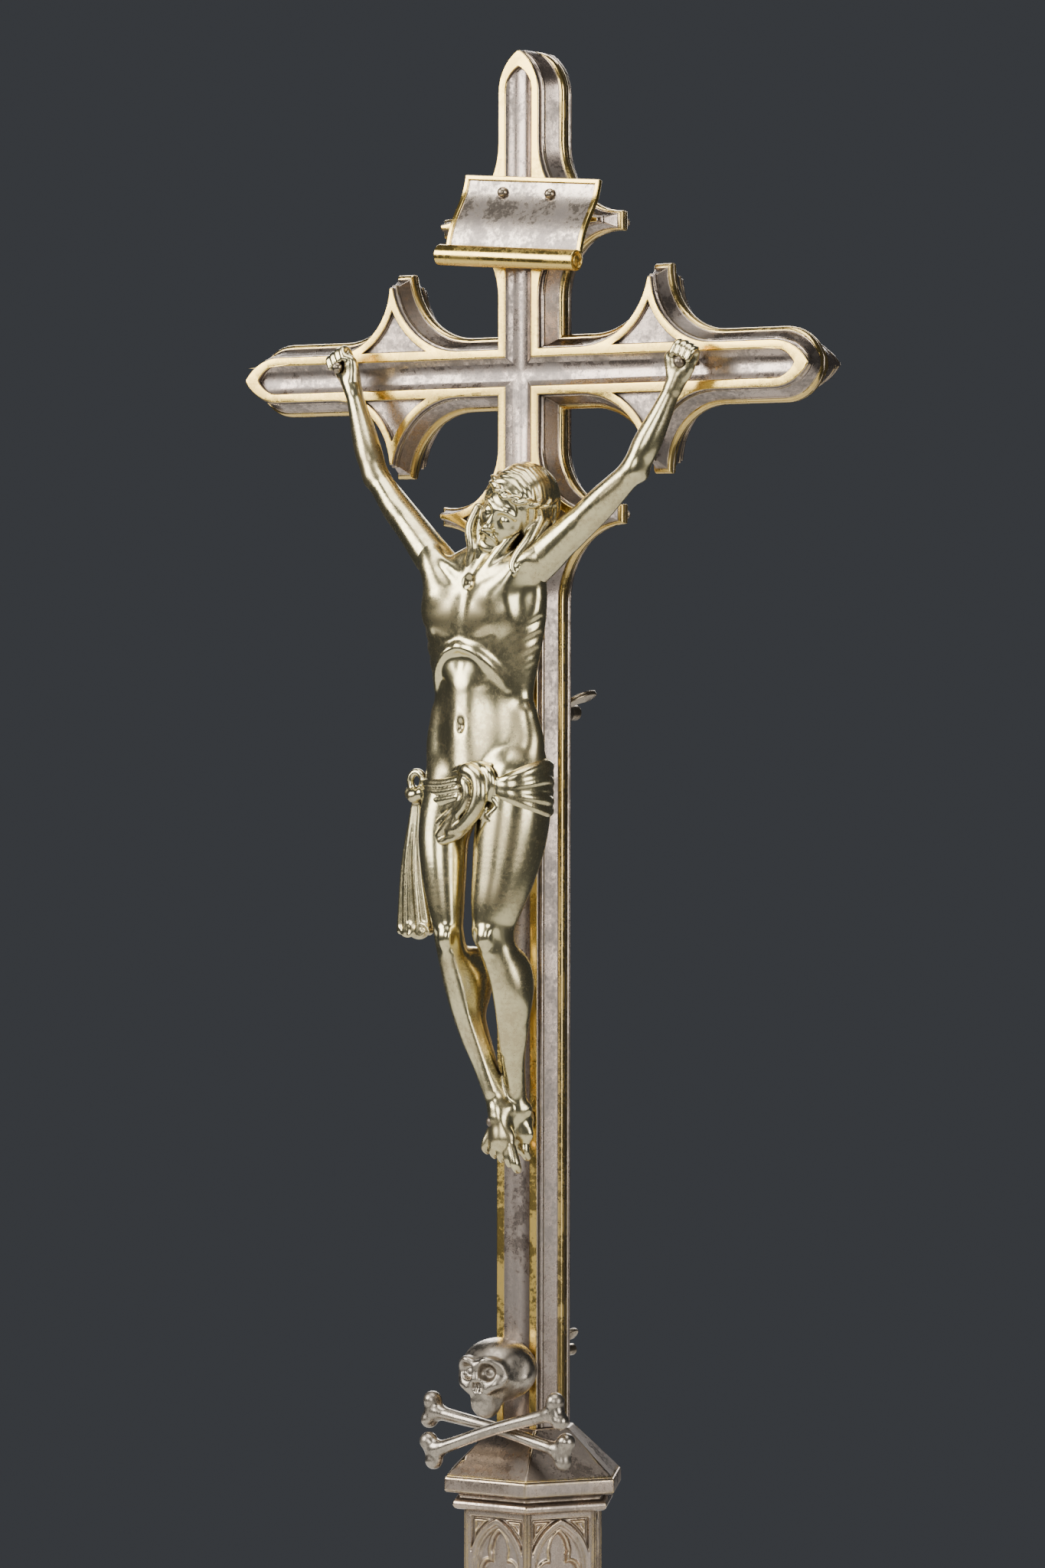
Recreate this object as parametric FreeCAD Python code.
import FreeCAD, Part
import math
import os

# Processional cross: two cast half shells on a hexagonal lantern knop with a socket for a wooden
# pole, carrying a corpus, a title scroll and a skull with crossed bones.
# Millimetres. Origin at the centre of the pole socket's mouth, +Z up the pole, the front faces -Y.

V = FreeCAD.Vector
os.makedirs("parts", exist_ok=True)

# ---- pole socket ------------------------------------------------------------------------------
BORE_R = 13.0
BORE_DEPTH = 56.0
SOCKET_R = 16.0
SOCKET_TOP = 66.0
MOUTH_RING_R = 18.2
COLLAR_R = 18.6
RING_HEIGHT = 5.0
RING_EDGE = 1.2           # depth of a ring's rounded outer edge
COLLAR_STEP = 1.0         # how far the collar is let into the socket

# ---- hexagonal knop ---------------------------------------------------------------------------
CORNICE_R = 24.4          # corner radius of the projecting fascia
ROOF_EDGE_R = 24.0
LANTERN_R = 18.6          # corner radius of the lantern
LANTERN_HEIGHT = 36.5
CORNICE_HEIGHT = 8.2
UNDER_ROOF_HEIGHT = 11.0
ROOF_HEIGHT = 11.8
PANEL_THICK = 2.6
PLATE_THICK = 3.0

UNDER_ROOF_TOP = SOCKET_TOP + UNDER_ROOF_HEIGHT
LANTERN_BASE = UNDER_ROOF_TOP + CORNICE_HEIGHT
LANTERN_TOP = LANTERN_BASE + LANTERN_HEIGHT
ROOF_BASE = LANTERN_TOP + CORNICE_HEIGHT
SHAFT_FOOT = ROOF_BASE + ROOF_HEIGHT

# ---- cross ------------------------------------------------------------------------------------
CROSSING_Z = 404.0
HALF_DEPTH = 7.5          # front or back face to the seam between the half shells
FLARE = 3.6               # how far the sides splay from the face to the seam
SHAFT_HALF = 6.0          # half width of the shaft's face
ARM_HALF = 5.7            # half width of the arms' face
ARM_REACH = 85.0
TOP_REACH = 79.7
RAIL = 2.0                # width of the polished rails
CHANNEL_DEPTH = 1.5
SPANDREL_DEPTH = 1.0
SPANDREL_STEP = 0.3       # from the straight edge's line out to the spandrel's base
OVERCUT = 1.0             # how far a cutting tool stands clear of the face it cuts
CAVITY_FACE_HALF = 3.5
CAVITY_SEAM_HALF = 6.3
CAVITY_DEPTH = 4.3

# Wall profile of a half shell, from its face to the seam: depth from the seam, and flare.
WALL = [(7.5, 0.0), (6.7, 0.25), (6.6, -0.3), (6.3, -0.2), (6.2, 0.45), (5.9, 0.75), (5.3, 0.85),
        (5.2, 0.5), (1.7, 2.3), (1.6, 2.85), (1.2, 3.35), (0.3, 3.6), (0.0, 3.45)]

# ---- fasteners --------------------------------------------------------------------------------
TIE_R = 2.5
STUD_R = 2.0
SMALL_STUD_R = 1.5
CORPUS_BOSS_R = 2.8
CORPUS_WASHER_R = 4.5
SKULL_WASHER_R = 3.4
WASHER_THICK = 1.0
CLEARANCE = 0.05
CLAMP_R = 3.0
CORPUS_STUD_Z = CROSSING_Z - 84.6
SKULL_STUD_Z = CROSSING_Z - 245.0
CLAMP_Z = 24.0
CLAMP_TRAVEL = 3.0
BOSS_R = 6.0
BOSS_FACE = SOCKET_R + 4.5
SCREW_R = 2.97
PAD_FACE = BORE_R + 0.4   # the pad's face when the screw is slack
PAD_THICK = 1.1
PAD_GAP = 0.1             # between the pad's back and the screw's end
HEAD_GAP = 0.3            # left under the screw's head when it is tight
HEAD_R = 4.2
HEAD_LENGTH = 4.0
HEAD_EAR_REACH = 9.5
HEAD_EAR_HEIGHT = 7.5
HEAD_EAR_THICK = 1.8
ROD_START = BORE_DEPTH + 0.6
ROD_IN_SHAFT = 11.0
ROD_NUT_FLATS = 8.0
ROD_NUT_HEIGHT = 3.4
ROD_WASHER_R = 5.0
ROD_WASHER_THICK = 0.8
NUT_RECESS_R = 6.0
NUT_RECESS_ROOF = 4.6     # metal left between the nut's recess and the socket's top


def save(name, shape):
    shape.exportStep("parts/" + name + ".step")


def cylinder(radius, start, end):
    """A round bar from point start to point end."""
    axis = end - start
    return Part.makeCylinder(radius, axis.Length, start, axis)


def ring(outer, inner, start, end):
    return cylinder(outer, start, end).cut(cylinder(inner, start, end))


def prism(points, direction):
    """A straight prism on a closed polygon of points."""
    return Part.Face(Part.makePolygon(points + points[:1])).extrude(direction)


def solid_between(rings):
    """A solid whose sides are ruled from each ring of edges to the next."""
    return Part.makeLoft([Part.Wire(edges) for edges in rings], True, True)


def polygon(points):
    """A ring of straight edges through points."""
    return Part.makePolygon(points + points[:1]).Edges


def edge_through(points):
    """A line through two points or an arc through three."""
    if len(points) == 2:
        return Part.makeLine(*points)
    return Part.Arc(*points).toShape()


def flat_face(edges):
    """A flat face bounded by edges given in any order."""
    return Part.Face(Part.Wire(Part.__sortEdges__(edges)))


def dome(radius, centre):
    """Half a ball that bulges to the front, flat at its centre."""
    behind = Part.makeBox(4 * radius, 2 * radius, 4 * radius, centre - V(2 * radius, 0, 2 * radius))
    return Part.makeSphere(radius, centre).cut(behind)


# ---- outline of the cross ---------------------------------------------------------------------

class Limb:
    """One limb of the cross: its direction, half width, cusp place and reach."""

    def __init__(self, angle, half, neighbour_half, cusp_along, cusp_out, reach, pointed=True):
        self.along = V(math.cos(angle), 0, math.sin(angle))
        self.across = V(-math.sin(angle), 0, math.cos(angle))
        self.half = half
        self.neighbour_half = neighbour_half
        self.cusp_along = cusp_along
        self.cusp_out = cusp_out
        self.reach = reach
        self.pointed = pointed

    def point(self, along, out, depth=0.0):
        return self.along * along + self.across * out + V(0, depth, CROSSING_Z)


FLANK_START = 18.6        # where the inner flank of a cusp leaves the straight edge
FLANK_END = 57.0          # where the outer flank meets the straight edge again
CUSP_TIP_HALF = 0.45
CUSP_TIP_SPREAD = 0.55    # how much the blunt tip widens for each mm of flare
END_START = 10.3          # length of the pointed end beyond the straight edge
END_TIP_HALF = 0.35
END_TIP_SPREAD = 0.3

RIGHT = Limb(0, ARM_HALF, SHAFT_HALF, 39.0, 22.2, ARM_REACH)
TOP = Limb(math.pi / 2, SHAFT_HALF, ARM_HALF, 36.8, 23.6, TOP_REACH)
LEFT = Limb(math.pi, ARM_HALF, SHAFT_HALF, 39.0, 22.2, ARM_REACH)
BOTTOM = Limb(-math.pi / 2, SHAFT_HALF, ARM_HALF, 35.4, 23.8, CROSSING_Z - SHAFT_FOOT, pointed=False)
LIMBS = [RIGHT, TOP, LEFT, BOTTOM]


def tangent_arc(base_along, base_out, tip_along, tip_out):
    """Start, middle and end of the arc that leaves the line out = base_out along the limb."""
    run = tip_along - base_along
    rise = tip_out - base_out
    radius = (run * run + rise * rise) / (2 * rise)
    turn = math.asin(min(1.0, abs(run) / abs(radius)))
    if abs(rise) > abs(radius):
        turn = math.pi - turn
    middle_along = base_along + math.copysign(abs(radius) * math.sin(turn / 2), run)
    middle_out = base_out + radius * (1 - math.cos(turn / 2))
    return [(base_along, base_out), (middle_along, middle_out), (tip_along, tip_out)]


def side_path(limb, flare):
    """One side of a limb from the crossing outwards, as lines (2 points) and arcs (3 points)."""
    edge = limb.half + flare
    tip_out = limb.cusp_out + flare
    tip_half = CUSP_TIP_HALF + CUSP_TIP_SPREAD * flare
    inner = (limb.cusp_along - tip_half, tip_out)
    outer = (limb.cusp_along + tip_half, tip_out)
    path = [[(limb.neighbour_half + flare, edge), (FLANK_START, edge)],
            tangent_arc(FLANK_START, edge, *inner),
            [inner, outer],
            tangent_arc(FLANK_END, edge, *outer)[::-1]]
    if limb.pointed:
        start = limb.reach - END_START
        tip = END_TIP_HALF + END_TIP_SPREAD * flare
        arc = [(along, -out) for along, out in tangent_arc(start, -edge, limb.reach, -tip)]
        path += [[(FLANK_END, edge), (start, edge)], arc]
    else:
        path += [[(FLANK_END, edge), (limb.reach, edge)]]
    return path


def cross_outline(flare, depth):
    """The cross's outline, splayed by flare, as a ring of edges at one depth."""
    edges = []
    for limb in LIMBS:
        side = side_path(limb, flare)
        outwards = [[(along, -out) for along, out in step] for step in side]
        inwards = [step[::-1] for step in side[::-1]]
        across = [[outwards[-1][-1], inwards[0][0]]]
        for step in outwards + across + inwards:
            edges.append(edge_through([limb.point(along, out, depth) for along, out in step]))
    return edges


def channel(limb_a, limb_b, half, face):
    """The hollow channel along two opposite limbs, between their rails."""
    width = half - RAIL
    radius = (width * width + CHANNEL_DEPTH * CHANNEL_DEPTH) / (2 * CHANNEL_DEPTH)
    axis_depth = face * (HALF_DEPTH - CHANNEL_DEPTH + radius)
    bar = cylinder(radius, limb_a.point(limb_a.reach, 0, axis_depth),
                   limb_b.point(limb_b.reach, 0, axis_depth))
    clip_depth = face * (HALF_DEPTH + OVERCUT)
    sides = []
    for limb in (limb_a, limb_b):
        if limb.pointed:
            start = limb.reach - END_START
            tip = limb.reach - 2 * RAIL
            arc = [(along, -out) for along, out in tangent_arc(start, -width, tip, 0)]
            sides.append([limb.point(along, out, clip_depth) for along, out in arc])
        else:
            sides.append([limb.point(limb.reach, width, clip_depth), limb.point(limb.reach, 0, clip_depth)])
    edges = []
    for limb, side in zip((limb_a, limb_b), sides):
        outs = [(point - limb.point(0, 0)).dot(limb.across) for point in side]
        mirror = [point - limb.across * (2 * out) for point, out in zip(side, outs)]
        edges += [edge_through(side), edge_through(mirror)]
    edges.append(Part.makeLine(sides[0][0], sides[1][0] - limb_b.across * (2 * width)))
    edges.append(Part.makeLine(sides[1][0], sides[0][0] - limb_a.across * (2 * width)))
    clip = flat_face(edges).extrude(V(0, -face * (CHANNEL_DEPTH + 2 * OVERCUT), 0))
    return bar.common(clip)


def circle_meet(centre_a, radius_a, centre_b, radius_b):
    """The meeting point of two circles that lies nearer the crossing's axis."""
    span_along = centre_b[0] - centre_a[0]
    span_out = centre_b[1] - centre_a[1]
    span = math.hypot(span_along, span_out)
    part = (span * span + radius_a ** 2 - radius_b ** 2) / (2 * span)
    rise = math.sqrt(radius_a ** 2 - part ** 2)
    along = centre_a[0] + (part * span_along + rise * span_out) / span
    out = centre_a[1] + (part * span_out - rise * span_along) / span
    return along, out


def spandrel(limb, side, face):
    """The sunk triangle inside a cusp, between its curved rails and the straight rail."""
    base = limb.half + SPANDREL_STEP
    rise = limb.cusp_out - limb.half
    circles = []
    for start, tip in ((FLANK_START, limb.cusp_along - CUSP_TIP_HALF),
                       (FLANK_END, limb.cusp_along + CUSP_TIP_HALF)):
        radius = ((tip - start) ** 2 + rise ** 2) / (2 * rise)
        circles.append(((start, limb.half + radius), radius + RAIL))
    apex = circle_meet(*circles[0], *circles[1])
    corners = []
    arcs = []
    for (centre, radius), sign in zip(circles, (1, -1)):
        corner = (centre[0] + sign * math.sqrt(radius ** 2 - (centre[1] - base) ** 2), base)
        turn_corner = math.atan2(corner[1] - centre[1], corner[0] - centre[0])
        turn_apex = math.atan2(apex[1] - centre[1], apex[0] - centre[0])
        half_turn = (turn_corner + turn_apex) / 2
        middle = (centre[0] + radius * math.cos(half_turn), centre[1] + radius * math.sin(half_turn))
        corners.append(corner)
        arcs.append([corner, middle, apex])
    depth = face * (HALF_DEPTH + OVERCUT)
    edges = []
    for path in [corners] + arcs:
        edges.append(edge_through([limb.point(along, side * out, depth) for along, out in path]))
    return flat_face(edges).extrude(V(0, -face * (OVERCUT + SPANDREL_DEPTH), 0))


def cavity(face):
    """The hollow inside a half shell, along the shaft and the arms."""
    hollow = [(-CAVITY_SEAM_HALF, 0), (CAVITY_SEAM_HALF, 0),
              (CAVITY_FACE_HALF, CAVITY_DEPTH), (-CAVITY_FACE_HALF, CAVITY_DEPTH)]
    upright = prism([V(x, face * depth, SHAFT_FOOT) for x, depth in hollow],
                    V(0, 0, CROSSING_Z + TOP_REACH - 2 * END_START - SHAFT_FOOT))
    reach = ARM_REACH - 2 * END_START
    crossbar = prism([V(-reach, face * depth, CROSSING_Z + x) for x, depth in hollow], V(2 * reach, 0, 0))
    return upright.fuse(crossbar)


def half_shell(face):
    """The front (face = -1) or back (face = 1) half casting."""
    shell = solid_between([cross_outline(flare, face * depth) for depth, flare in WALL])
    tools = [channel(TOP, BOTTOM, SHAFT_HALF, face).fuse(channel(LEFT, RIGHT, ARM_HALF, face))]
    for limb in LIMBS:
        for side in (-1, 1):
            tools.append(spandrel(limb, side, face))
    tools.append(cavity(face))
    reach = V(0, face * (HALF_DEPTH + OVERCUT), 0)
    for height, radius in ((CORPUS_STUD_Z, STUD_R), (SKULL_STUD_Z, SMALL_STUD_R)):
        tools.append(cylinder(radius + CLEARANCE, V(0, 0, height), V(0, 0, height) + reach))
    return shell.cut(tools)


# ---- hexagonal knop ---------------------------------------------------------------------------

def hexagon(radius, height):
    """A level hexagon with a flat to the front and a corner on each side."""
    corners = [math.radians(60 * step) for step in range(6)]
    return [V(radius * math.cos(turn), radius * math.sin(turn), height) for turn in corners]


def shaft_hexagon(margin, height):
    """The shaft's own six-sided section, grown by a margin."""
    face = SHAFT_HALF + margin / 2
    seam = SHAFT_HALF + FLARE + margin
    depth = HALF_DEPTH + margin
    return [V(x, y, height) for x, y in ((seam, 0), (face, depth), (-face, depth),
                                         (-seam, 0), (-face, -depth), (face, -depth))]


def hexagon_stack(stations):
    """A turned-looking moulding of hexagonal plan, from (height, corner radius) stations."""
    return solid_between([polygon(hexagon(radius, height)) for height, radius in stations])


# Moulding from the lantern outwards: height from the lantern, corner radius.
CORNICE = [(0.0, 20.8), (0.35, 21.7), (0.9, 22.15), (1.7, 22.15), (2.25, 21.7), (2.6, 20.8), (2.7, 20.3),
           (3.5, 20.3), (3.9, 20.8), (4.1, 21.6), (4.4, 24.1), (4.8, CORNICE_R), (7.8, CORNICE_R),
           (CORNICE_HEIGHT, ROOF_EDGE_R)]
SPIGOT_R = 15.4
SPIGOT_TIP_R = 15.1
SPIGOT_HEIGHT = 2.0
POCKET_R = (17.5, 19.5)   # corner radius of the hollow beyond the cornice's plate, inner and outer end
ROOF_HOLLOW_R = 20.0
ROOF_WALL = 4.0           # solid thickness left at a roof's narrow end
UNDER_ROOF_NECK_R = 17.6
UNDER_ROOF_NECK_HEIGHT = 1.2
UNDER_ROOF_HOLLOW_R = 13.5
SHAFT_SEAT = 0.8          # margin of the cap roof's top round the shaft
SHAFT_SEAT_HOLLOW = -3.5


def cornice(lantern_end, way):
    """A cornice casting standing on one end of the lantern; way is 1 upwards and -1 downwards."""
    body = hexagon_stack([(lantern_end + way * height, radius) for height, radius in CORNICE])
    spigot = hexagon_stack([(lantern_end, SPIGOT_R),
                            (lantern_end - way * SPIGOT_HEIGHT, SPIGOT_TIP_R)])
    pocket = hexagon_stack([(lantern_end + way * PLATE_THICK, POCKET_R[0]),
                            (lantern_end + way * CORNICE_HEIGHT, POCKET_R[1])])
    rod_hole = cylinder(TIE_R, V(0, 0, lantern_end - 10), V(0, 0, lantern_end + 10))
    return body.fuse(spigot).cut([pocket, rod_hole])


def cap_roof():
    """The hipped roof from the upper cornice to the foot of the shaft."""
    outside = solid_between([polygon(hexagon(ROOF_EDGE_R, ROOF_BASE)),
                             polygon(shaft_hexagon(SHAFT_SEAT, SHAFT_FOOT))])
    inside = solid_between([polygon(hexagon(ROOF_HOLLOW_R, ROOF_BASE)),
                            polygon(shaft_hexagon(SHAFT_SEAT_HOLLOW, SHAFT_FOOT - ROOF_WALL))])
    rod_hole = cylinder(TIE_R, V(0, 0, ROOF_BASE), V(0, 0, SHAFT_FOOT))
    return outside.cut([inside, rod_hole])


def under_roof():
    """The inverted roof from the lower cornice down to the socket's collar."""
    outside = hexagon_stack([(UNDER_ROOF_TOP, ROOF_EDGE_R),
                             (SOCKET_TOP + UNDER_ROOF_NECK_HEIGHT, UNDER_ROOF_NECK_R),
                             (SOCKET_TOP, UNDER_ROOF_NECK_R)])
    inside = hexagon_stack([(UNDER_ROOF_TOP, ROOF_HOLLOW_R),
                            (SOCKET_TOP + ROOF_WALL, UNDER_ROOF_HOLLOW_R)])
    rod_hole = cylinder(TIE_R, V(0, 0, SOCKET_TOP), V(0, 0, UNDER_ROOF_TOP))
    return outside.cut([inside, rod_hole])


PANEL_MARGIN = 2.6
ARCH_HALF = 6.6
ARCH_SPRING = 19.6
ARCH_SINK = 0.7           # depth of the arch below the panel's face
LIGHT_HALF = 4.9
LIGHT_FOOT = 4.0
LIGHT_SPRING = 15.0
LIGHT_SINK = 1.8          # depth of the cusped light below the panel's face
LOBE_R = 2.7
LOBES = ((-2.5, 20.6), (2.5, 20.6), (0, 24.8))
CORNER_SINK = 0.8         # depth of the triangles above the arch
CORNER = ((7.9, 33.6), (2.4, 33.6), (5.6, 28.6), (7.9, 23.6))


def arch_face(half, foot, spring, depth):
    """A pointed-arch face, half wide to each side, at one depth of the panel."""
    side = [(half, foot), (half, spring)]
    haunch = [(half, spring), (0.66 * half, spring + 1.05 * half), (0, spring + 1.75 * half)]
    edges = [Part.makeLine(V(-half, depth, foot), V(half, depth, foot))]
    for path in (side, haunch):
        edges.append(edge_through([V(across, depth, up) for across, up in path]))
        edges.append(edge_through([V(-across, depth, up) for across, up in path]))
    return flat_face(edges)


def lantern_panel(turn):
    """One cast tracery panel, mitred to its neighbours; turn is its bearing from the front."""
    face = -LANTERN_R * math.cos(math.radians(30))
    half_out = LANTERN_R / 2
    half_in = half_out - PANEL_THICK * math.tan(math.radians(30))
    back = face + PANEL_THICK
    plan = [V(-half_out, face, 0), V(half_out, face, 0), V(half_in, back, 0), V(-half_in, back, 0)]
    panel = prism(plan, V(0, 0, LANTERN_HEIGHT))
    front = face - OVERCUT
    arch = arch_face(ARCH_HALF, PANEL_MARGIN, ARCH_SPRING, front)
    tools = [arch.extrude(V(0, OVERCUT + ARCH_SINK, 0))]
    depth = V(0, OVERCUT + LIGHT_SINK, 0)
    tools.append(arch_face(LIGHT_HALF, LIGHT_FOOT, LIGHT_SPRING, front).extrude(depth))
    for across, height in LOBES:
        centre = V(across, front, height)
        tools.append(cylinder(LOBE_R, centre, centre + depth))
    for side in (-1, 1):
        corner = [V(side * across, front, height) for across, height in CORNER]
        tools.append(prism(corner, V(0, OVERCUT + CORNER_SINK, 0)))
    panel = panel.cut(tools)
    panel.translate(V(0, 0, LANTERN_BASE))
    panel.rotate(V(0, 0, 0), V(0, 0, 1), turn)
    return panel


def tie_rod():
    """The screwed rod that draws socket, knop and shaft foot together."""
    return cylinder(TIE_R, V(0, 0, ROD_START), V(0, 0, SHAFT_FOOT + ROD_IN_SHAFT))


def hexagon_nut(across_flats, bore, start, end):
    """A hexagon nut from start to end along Y or Z."""
    radius = across_flats / math.sqrt(3)
    axis = end - start
    side = V(1, 0, 0)
    other = axis.cross(side).normalize()
    plan = []
    for step in range(6):
        turn = math.radians(60 * step)
        plan.append(start + side * (radius * math.cos(turn)) + other * (radius * math.sin(turn)))
    return prism(plan, axis).cut(cylinder(bore, start, end))


def pole_socket():
    """The turned socket for the pole, with the nut's recess and the clamp boss."""
    recess_top = SOCKET_TOP - NUT_RECESS_ROOF
    profile = [V(BORE_R, 0, 0), V(SOCKET_R, 0, 0), V(SOCKET_R, 0, SOCKET_TOP - RING_HEIGHT - COLLAR_STEP),
               V(SOCKET_R - COLLAR_STEP, 0, SOCKET_TOP - RING_HEIGHT),
               V(SOCKET_R - COLLAR_STEP, 0, SOCKET_TOP), V(TIE_R, 0, SOCKET_TOP), V(TIE_R, 0, recess_top),
               V(NUT_RECESS_R, 0, recess_top), V(NUT_RECESS_R, 0, BORE_DEPTH), V(BORE_R, 0, BORE_DEPTH)]
    body = Part.Face(Part.makePolygon(profile + profile[:1])).revolve(V(0, 0, 0), V(0, 0, 1), 360)
    boss = cylinder(BOSS_R, V(0, 0, CLAMP_Z), V(0, BOSS_FACE, CLAMP_Z))
    bore = cylinder(BORE_R, V(0, 0, 0), V(0, 0, BORE_DEPTH))
    screw_hole = cylinder(CLAMP_R + CLEARANCE, V(0, 0, CLAMP_Z), V(0, BOSS_FACE + OVERCUT, CLAMP_Z))
    return body.fuse(boss.cut(bore)).cut(screw_hole)


def bead_ring(inner, outer, low, high):
    """A round-edged ring about the pole's axis."""
    edge = outer - RING_EDGE
    nose = [V(edge, 0, low), V(outer, 0, (low + high) / 2), V(edge, 0, high)]
    edges = [Part.makeLine(V(inner, 0, high), V(inner, 0, low)), Part.makeLine(V(inner, 0, low), nose[0]),
             edge_through(nose), Part.makeLine(nose[2], V(inner, 0, high))]
    return Part.Face(Part.Wire(edges)).revolve(V(0, 0, 0), V(0, 0, 1), 360)


# ---- wing nuts and thumb screw ----------------------------------------------------------------
EAR_ROOT = 1.2            # how far from the axis an ear starts, inside the hub
EAR_LIFT = 0.6            # how far an ear's lower edge stands above the hub's seat
EAR_THICK = 1.3
NUT_SEAT = HALF_DEPTH + WASHER_THICK
# Wing nuts: hub radius, hub length, reach and height of the ears, and their lean from level.
CORPUS_NUT = (3.6, 5.0, 9.0, 8.0, 35)
SKULL_NUT = (2.6, 4.0, 6.4, 6.0, 60)

def wing(centre, reach, height, thick, lean):
    """A pair of ears standing off a hub about a +Y axis, leaning by an angle from level."""
    root = [V(EAR_ROOT, EAR_LIFT, 0), V(reach * 0.55, EAR_LIFT, 0)]
    outer = [root[1], V(reach * 0.9, height * 0.45, 0), V(reach, height, 0)]
    tip = [outer[2], V(reach * 0.78, height * 1.08, 0), V(reach * 0.58, height * 0.85, 0)]
    inner = [tip[2], V(reach * 0.38, height * 0.5, 0), V(EAR_ROOT, height * 0.42, 0)]
    profile = [edge_through(points) for points in (root, outer, tip, inner, [inner[2], root[0]])]
    pair = []
    for side in (0, 180):
        ear = Part.Face(Part.Wire(profile)).extrude(V(0, 0, thick))
        ear.translate(V(0, 0, -thick / 2))
        ear.rotate(V(0, 0, 0), V(0, 1, 0), side - lean)
        ear.translate(centre)
        pair.append(ear)
    return pair


def wing_nut(height, bore, start, hub, length, reach, ear_height, lean):
    """A wing nut on a stud along +Y at the given height."""
    centre = V(0, start, height)
    body = Part.makeCone(hub, hub * 0.8, length, centre, V(0, 1, 0))
    for ear in wing(centre, reach, ear_height, EAR_THICK, lean):
        body = body.fuse(ear)
    return body.cut(cylinder(bore + CLEARANCE, centre - V(0, 1, 0), centre + V(0, length + ear_height, 0)))


def thumb_screw():
    """The clamp screw in the socket's back, with its winged head."""
    head_start = BOSS_FACE + CLAMP_TRAVEL + HEAD_GAP
    head = V(0, head_start, CLAMP_Z)
    body = cylinder(SCREW_R, V(0, PAD_FACE + PAD_THICK + PAD_GAP, CLAMP_Z), head)
    body = body.fuse(cylinder(HEAD_R, head, head + V(0, HEAD_LENGTH, 0)))
    for ear in wing(head, HEAD_EAR_REACH, HEAD_EAR_HEIGHT, HEAD_EAR_THICK, 0):
        body = body.fuse(ear)
    return body


# ---- title scroll -----------------------------------------------------------------------------
SCROLL_PLACE = V(5.1, -9.9, CROSSING_Z + 37.7)
SCROLL_WIDTH = 40.4
SCROLL_THICK = 1.4
SCROLL_TILT = 4.2
# The sheet's face from its top edge to its roll: distance forwards (negative) and height.
SCROLL_LINE = [(0.0, 10.2), (-0.4, 7.4), (-1.4, 4.6), (-3.2, 1.4), (-5.0, -2.0), (-6.2, -5.8), (-6.6, -10.2)]
ROLL_R = 2.6
ROLL_OVERHANG = 0.5
ROLL_FORWARD = 1.6        # from the sheet's lower edge forwards to the roll's axis
CURL_GROOVE = (2.0, 1.3)  # outer and inner radius of the groove in the roll's ends
CURL_DEPTH = 0.6
RIM = 1.2                 # width of the sheet's raised rim
RIM_HEIGHT = 0.5
PIN_PLACES = ((-8.1, 6.1), (6.1, 6.1))
PIN_R = 0.8
PIN_HEAD_R = 1.4
PIN_SEAT = -0.45          # the flat cut for a pin's head, forwards of the sheet's top edge
PIN_END = 5.9
FORWARD = V(0, -20, 0)    # further forwards than any part of the scroll


def scroll_band(front, back, half_width):
    """The sheet's layer between two depths behind its face, half_width to each side."""
    walls = []
    for depth in (front, back):
        points = []
        for index, (y, z) in enumerate(SCROLL_LINE):
            before = SCROLL_LINE[max(index - 1, 0)]
            after = SCROLL_LINE[min(index + 1, len(SCROLL_LINE) - 1)]
            inwards = V(0, before[1] - after[1], after[0] - before[0]).normalize()
            points.append(V(-half_width, y, z) + inwards * depth)
        curve = Part.BSplineCurve()
        curve.interpolate(points)
        walls.append((curve.toShape(), points))
    edges = [wall for wall, points in walls]
    edges += [Part.makeLine(walls[0][1][end], walls[1][1][end]) for end in (0, -1)]
    return flat_face(edges).extrude(V(2 * half_width, 0, 0))


def scroll_place(shape):
    """Move a shape from the scroll's own frame to its place on the upper limb."""
    shape.rotate(V(0, 0, 0), V(0, 1, 0), SCROLL_TILT)
    shape.translate(SCROLL_PLACE)
    return shape


def scroll_plate():
    """The curling sheet, blank inside a raised rim, with a roll along its lower edge."""
    half = SCROLL_WIDTH / 2
    top = SCROLL_LINE[0][1]
    low_y, low = SCROLL_LINE[-1]
    frame = prism([V(RIM - half, 0, low), V(half - RIM, 0, low), V(half - RIM, 0, top - RIM),
                   V(RIM - half, 0, top - RIM)], FORWARD)
    frame.translate(V(0, SCROLL_THICK, 0))
    window = scroll_band(-OVERCUT, RIM_HEIGHT, half).common(frame)
    roll_end = V(half + ROLL_OVERHANG, low_y - ROLL_FORWARD, low)
    roll_start = V(-roll_end.x, roll_end.y, roll_end.z)
    roll = cylinder(ROLL_R, roll_start, roll_end)
    body = scroll_band(0, SCROLL_THICK, half).cut(window).fuse(roll)
    for end, way in ((roll_start, 1), (roll_end, -1)):
        body = body.cut(ring(*CURL_GROOVE, end, end + V(way * CURL_DEPTH, 0, 0)))
    for across, up in PIN_PLACES:
        seat = V(across, PIN_SEAT, up)
        body = body.cut([cylinder(PIN_R, seat + FORWARD, V(across, PIN_END, up)),
                         cylinder(PIN_HEAD_R, seat - V(0, 2 * PIN_HEAD_R, 0), seat)])
    return scroll_place(body)


def scroll_pins():
    """The two dome-headed pins that hold the scroll to the cross."""
    pins = []
    for across, up in PIN_PLACES:
        seat = V(across, PIN_SEAT, up)
        shank = cylinder(PIN_R, seat - V(0, PIN_R, 0), V(across, PIN_END, up))
        pins.append(scroll_place(shank.fuse(dome(PIN_HEAD_R, seat))))
    return pins


# ---- corpus -----------------------------------------------------------------------------------

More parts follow.
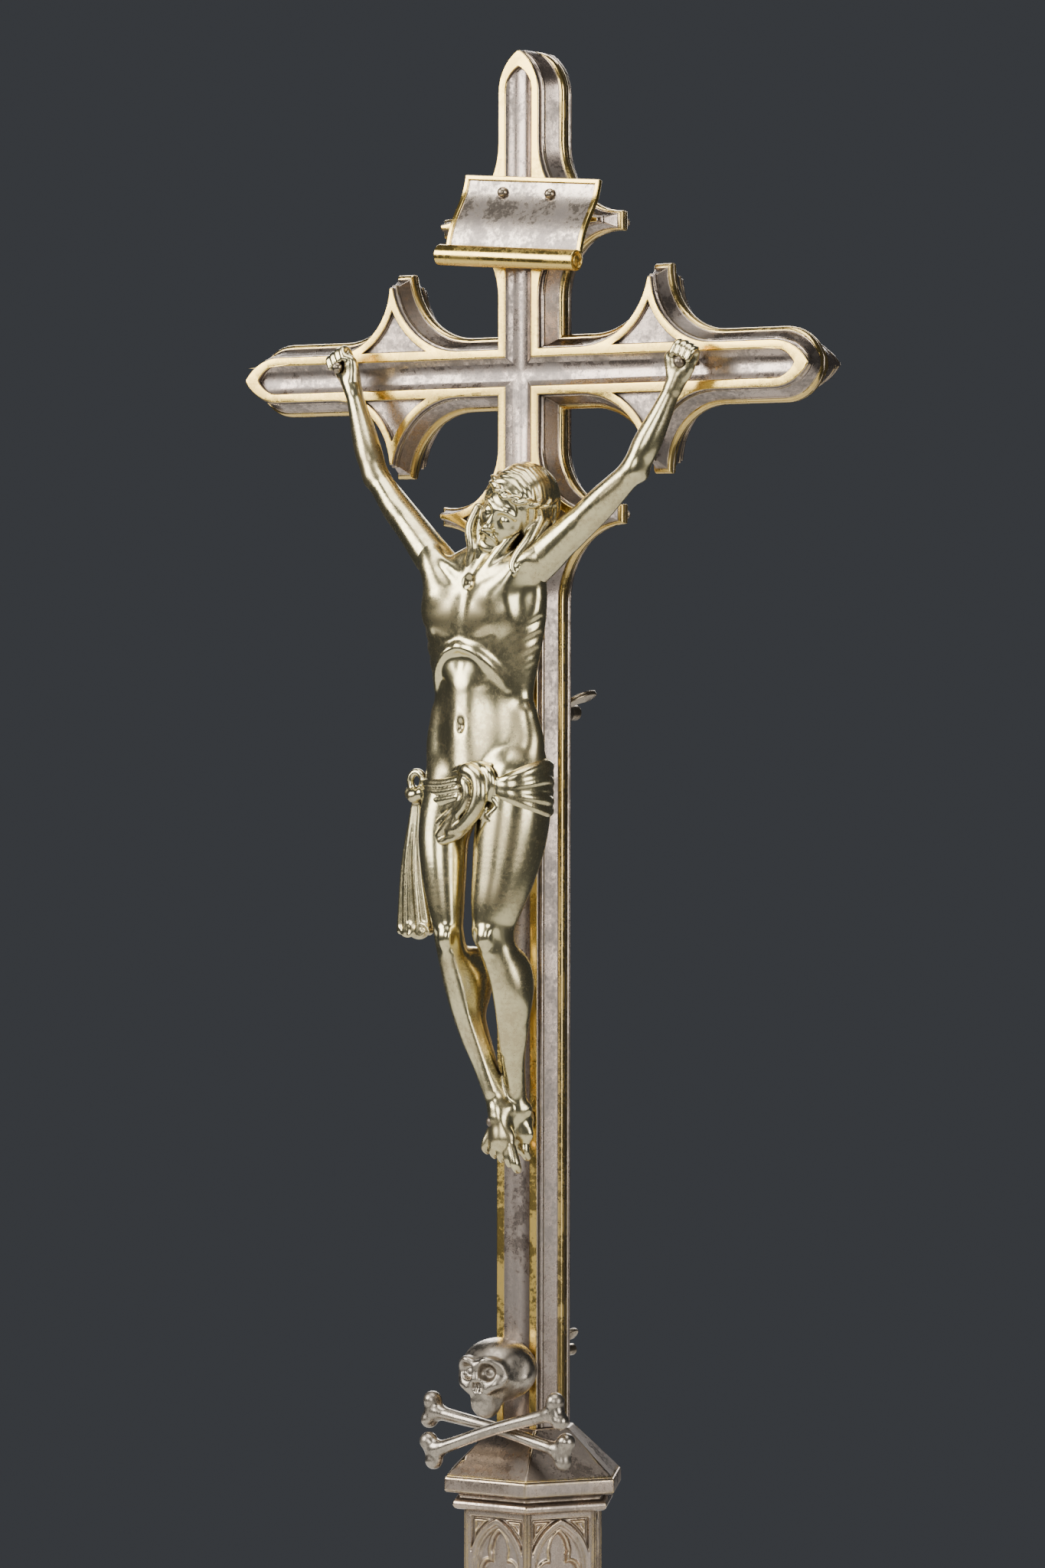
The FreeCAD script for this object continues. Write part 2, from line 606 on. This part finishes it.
def section(centre, half_width, half_depth, normal):
    """An elliptical section of a limb, half_width across and half_depth fore and aft."""
    side = V(0, 1, 0).cross(normal).normalize()
    fore = normal.cross(side)
    turns = [math.radians(30 * step) for step in range(12)]
    curve = Part.BSplineCurve()
    curve.interpolate([centre + side * (half_width * math.cos(turn)) + fore * (half_depth * math.sin(turn))
                       for turn in turns], PeriodicFlag=True)
    return Part.Wire(curve.toShape())


def smoothed(stations):
    """The stations with two more worked out in each gap, on a Catmull-Rom curve."""
    padded = [stations[0]] + stations + [stations[-1]]
    result = []
    for before, start, end, after in zip(padded, padded[1:], padded[2:], padded[3:]):
        for part in (0, 1 / 3, 2 / 3):
            values = []
            for p0, p1, p2, p3 in zip(before, start, end, after):
                slope = p2 - p0
                bend = 2 * p0 - 5 * p1 + 4 * p2 - p3
                twist = 3 * p1 - p0 - 3 * p2 + p3
                values.append((2 * p1 + part * slope + part ** 2 * bend + part ** 3 * twist) / 2)
            result.append(values)
    return result + [list(stations[-1])]


def limb_solid(stations):
    """A limb through (x, y, height above the crossing, half width, half depth) stations."""
    stations = smoothed(stations)
    centres = [V(x, y, CROSSING_Z + z) for x, y, z, a, c in stations]
    wires = []
    for index, (x, y, z, a, c) in enumerate(stations):
        before = centres[max(index - 1, 0)]
        after = centres[min(index + 1, len(centres) - 1)]
        wires.append(section(centres[index], a, c, (after - before).normalize()))
    return Part.makeLoft(wires, True, True)


def ball(x, y, z, a, b, c):
    """An ellipsoid with half axes a, b and c about a point given from the crossing."""
    sphere = Part.makeSphere(1.0)
    matrix = FreeCAD.Matrix()
    matrix.scale(a, b, c)
    shape = sphere.transformGeometry(matrix)
    shape.translate(V(x, y, CROSSING_Z + z))
    return shape


# Limbs: x, y, height above the crossing, half width and half depth of each section.
TORSO = [(0.5, -21, -49, 11, 5), (0, -20.5, -54, 16.5, 7), (-0.3, -20.3, -60, 17.4, 7.6),
         (-0.6, -20, -69, 16, 7.4), (-1, -19.5, -81, 13.2, 6.4), (-1, -19.5, -95, 15.6, 7.2),
         (-1, -20, -104, 17.2, 8), (-1, -20.5, -111, 16, 7.4)]
RIGHT_LEG = [(-9, -20.5, -104, 7.8, 7.8), (-9.2, -23, -120, 7.2, 7.6), (-7.6, -25.6, -136, 5.4, 5.6),
             (-6, -22.5, -150, 4.8, 6.2), (-2.6, -19.2, -166, 3.6, 4.6), (0, -16.6, -182, 3.0, 3.4)]
LEFT_LEG = [(8.6, -20.5, -104, 7.8, 7.8), (7.6, -23, -120, 7.2, 7.6), (4.9, -25.4, -135, 5.4, 5.6),
            (7, -20.5, -152, 4.8, 5.6), (6, -15.6, -168, 3.6, 4.2), (4.6, -12.6, -180, 2.8, 3.2)]
RIGHT_FOOT = [(0, -16.6, -180, 3.0, 3.4), (0.4, -17.2, -187, 3.6, 2.4), (1.0, -15.2, -194.5, 3.8, 1.6)]
LEFT_FOOT = [(4.6, -12.6, -178, 2.8, 3.2), (4.4, -11.4, -184, 3.2, 2.6), (2.6, -10.6, -190, 3.2, 1.6)]
HANGING_CLOTH = [(-19.8, -19.5, -104, 2.6, 3), (-21, -19, -120, 3.4, 3.2), (-20.6, -19, -139, 4.4, 3.4)]
NECK = [(0.6, -20.5, -53, 5, 5), (3, -20.5, -46, 4.4, 4.6), (6, -20.5, -38, 5, 5)]
RIGHT_ARM = [(-14.2, -19.6, -49, 4.6, 4.8), (-24, -18.6, -39.5, 4.2, 4.4), (-36.6, -17.2, -25.6, 3.2, 3.4),
             (-41.6, -16, -15, 3.4, 3.6), (-46.4, -14, -2.7, 2.1, 2.0), (-49.2, -13, 1.6, 3.4, 2.6),
             (-51, -12.6, 5.6, 3.6, 2.8), (-51.8, -12.6, 8.4, 2, 1.8)]
LEFT_ARM = [(14.2, -19.6, -49, 4.6, 4.8), (26, -18.6, -38.5, 4.2, 4.4), (41.2, -17.2, -25.2, 3.2, 3.4),
            (46.4, -16, -14, 3.4, 3.6), (51.2, -14, -4.4, 2.1, 2.0), (53.4, -13, 0, 3.4, 2.6),
            (54.6, -12.6, 4, 3.6, 2.8), (55, -12.6, 6.8, 2, 1.8)]
# Nails: head's centre (x, y, height above the crossing) and length of shank behind it.
RIGHT_NAIL = (-49.6, -15.6, 2.2, 8.0)
LEFT_NAIL = (53.4, -15.6, 0.6, 8.0)
FOOT_NAIL = (0.4, -18.6, -185.6, 12.4)
NAIL_R = 0.7
NAIL_HEAD_R = 1.5
NAIL_IN_HEAD = 0.4


def corpus_body():
    """Head, trunk, loincloth and legs, which are one casting."""
    parts = [limb_solid(stations) for stations in (RIGHT_LEG, LEFT_LEG, RIGHT_FOOT, LEFT_FOOT, NECK)]
    parts.append(ball(7.6, -20.5, -35, 8.4, 9.4, 11.2))
    parts.append(ball(3.8, -23.5, -43.6, 4.4, 4.2, 4.6))
    parts.append(ball(-1, -20.3, -101, 19, 9.2, 7))
    parts.append(ball(-20.5, -20, -103, 3, 3, 4))
    parts.append(limb_solid(HANGING_CLOTH))
    boss = cylinder(CORPUS_BOSS_R, V(0, -19, CORPUS_STUD_Z), V(0, -6.7, CORPUS_STUD_Z))
    body = limb_solid(TORSO).fuse(parts + [boss])
    stud = cylinder(STUD_R, V(0, -CORPUS_STUD_TIP, CORPUS_STUD_Z), V(0, 0, CORPUS_STUD_Z))
    return body.cut(stud)


def nail(x, y, z, length):
    """A dome-headed nail driven towards +Y."""
    centre = V(x, y, CROSSING_Z + z)
    shank = cylinder(NAIL_R, centre - V(0, NAIL_IN_HEAD, 0), centre + V(0, length, 0))
    return shank.fuse(dome(NAIL_HEAD_R, centre))


# ---- skull and crossed bones ------------------------------------------------------------------
BONE_R = 2.1
KNUCKLE_R = 2.6
KNUCKLE_OFFSET = 1.56
BACK_BONE = ((-19.7, -15.7, -258.6), (19.7, -15.7, -266.2))
FRONT_BONE = ((-16.6, -19.9, -268.0), (20.6, -19.9, -256.0))
SKULL_MIDDLE = 0.5
SKULL_STUD_TIP = 13.0     # how far a stud's hidden end stands in front of the seam
CORPUS_STUD_TIP = 16.0
SKULL_STUD_END = 17.0     # how far a stud's nut end stands behind the seam
CORPUS_STUD_END = 18.0

def skull():
    """A skull without its lower jaw, facing the front."""
    crown = ball(SKULL_MIDDLE, -16.2, -247.2, 10.2, 8.7, 8.4)
    cheeks = ball(SKULL_MIDDLE, -19.5, -252.5, 7.6, 5, 4.6)
    jaw = ball(SKULL_MIDDLE, -20.2, -256, 4.8, 3.8, 3.6)
    body = crown.fuse([cheeks, jaw])
    for side in (-1, 1):
        body = body.cut(ball(SKULL_MIDDLE + side * 3.9, -25.2, -249.8, 2.5, 2.8, 2.3))
    body = body.cut(ball(SKULL_MIDDLE, -25, -253, 1.1, 2.4, 1.5))
    stud = cylinder(SMALL_STUD_R, V(0, -SKULL_STUD_TIP, SKULL_STUD_Z), V(0, 0, SKULL_STUD_Z))
    shaft_face = Part.makeBox(40, 20, 60, V(-20, -HALF_DEPTH, SKULL_STUD_Z - 30))
    return body.cut([stud, shaft_face])


def bone(start, end):
    """A long bone with a pair of knuckles at each end."""
    first = V(start[0], start[1], CROSSING_Z + start[2])
    last = V(end[0], end[1], CROSSING_Z + end[2])
    axis = (last - first).normalize()
    aside = axis.cross(V(0, 1, 0)).normalize()
    body = cylinder(BONE_R, first, last)
    for place in (first, last):
        for side in (-1, 1):
            body = body.fuse(Part.makeSphere(KNUCKLE_R, place + aside * (side * KNUCKLE_OFFSET)))
    return body


# ---- the parts --------------------------------------------------------------------------------

PLUG_SECTION = [(CAVITY_SEAM_HALF, 0), (CAVITY_FACE_HALF, CAVITY_DEPTH),
                (-CAVITY_FACE_HALF, CAVITY_DEPTH), (-CAVITY_SEAM_HALF, 0),
                (-CAVITY_FACE_HALF, -CAVITY_DEPTH), (CAVITY_FACE_HALF, -CAVITY_DEPTH)]
PLUG_HEIGHT = 12.0


def main():
    pins = scroll_pins()
    nails = [nail(*LEFT_NAIL), nail(*RIGHT_NAIL)]
    foot_nail = nail(*FOOT_NAIL)

    front = half_shell(-1).cut(pins + nails + [foot_nail])
    save("cross_front_shell", front)
    save("cross_back_shell", half_shell(1))
    plug = prism([V(x, y, SHAFT_FOOT) for x, y in PLUG_SECTION], V(0, 0, PLUG_HEIGHT))
    save("shaft_foot_plug", plug.cut(tie_rod()))
    save("tie_rod", tie_rod())
    washer_top = V(0, 0, SOCKET_TOP - NUT_RECESS_ROOF)
    nut_top = washer_top - V(0, 0, ROD_WASHER_THICK)
    save("tie_rod_nut", hexagon_nut(ROD_NUT_FLATS, TIE_R, nut_top - V(0, 0, ROD_NUT_HEIGHT), nut_top))
    save("tie_rod_washer", ring(ROD_WASHER_R, TIE_R, nut_top, washer_top))

    save("cap_roof", cap_roof())
    save("upper_cornice", cornice(LANTERN_TOP, 1))
    save("lower_cornice", cornice(LANTERN_BASE, -1))
    save("under_roof", under_roof())
    for number in range(6):
        save("lantern_panel_%d" % (number + 1), lantern_panel(60 * number))

    save("pole_socket", pole_socket())
    save("socket_mouth_ring", bead_ring(SOCKET_R, MOUTH_RING_R, 0, RING_HEIGHT))
    save("socket_collar", bead_ring(SOCKET_R - COLLAR_STEP, COLLAR_R, SOCKET_TOP - RING_HEIGHT, SOCKET_TOP))
    save("thumb_screw", thumb_screw())
    pad = V(0, PAD_FACE, CLAMP_Z)
    save("clamp_pad", cylinder(SCREW_R, pad, pad + V(0, PAD_THICK, 0)))

    body = corpus_body()
    for name, stations in (("corpus_right_arm", RIGHT_ARM), ("corpus_left_arm", LEFT_ARM)):
        arm = limb_solid(stations).cut([body] + nails)
        save(name, max(arm.Solids, key=lambda solid: solid.Volume))
    save("corpus_body", body.cut(foot_nail))
    save("hand_nails", Part.makeCompound(nails))
    save("foot_nail", foot_nail)
    save("corpus_stud", cylinder(STUD_R, V(0, -CORPUS_STUD_TIP, CORPUS_STUD_Z),
                                 V(0, CORPUS_STUD_END, CORPUS_STUD_Z)))
    save("corpus_washer", ring(CORPUS_WASHER_R, STUD_R + CLEARANCE, V(0, HALF_DEPTH, CORPUS_STUD_Z),
                               V(0, NUT_SEAT, CORPUS_STUD_Z)))
    save("corpus_wing_nut", wing_nut(CORPUS_STUD_Z, STUD_R, NUT_SEAT, *CORPUS_NUT))

    save("scroll_plate", scroll_plate())
    save("scroll_pins", Part.makeCompound(pins))

    save("skull", skull())
    save("crossbone_back", bone(*BACK_BONE))
    save("crossbone_front", bone(*FRONT_BONE))
    save("skull_stud", cylinder(SMALL_STUD_R, V(0, -SKULL_STUD_TIP, SKULL_STUD_Z),
                                V(0, SKULL_STUD_END, SKULL_STUD_Z)))
    save("skull_washer", ring(SKULL_WASHER_R, SMALL_STUD_R + CLEARANCE, V(0, HALF_DEPTH, SKULL_STUD_Z),
                              V(0, NUT_SEAT, SKULL_STUD_Z)))
    save("skull_wing_nut", wing_nut(SKULL_STUD_Z, SMALL_STUD_R, NUT_SEAT, *SKULL_NUT))


main()
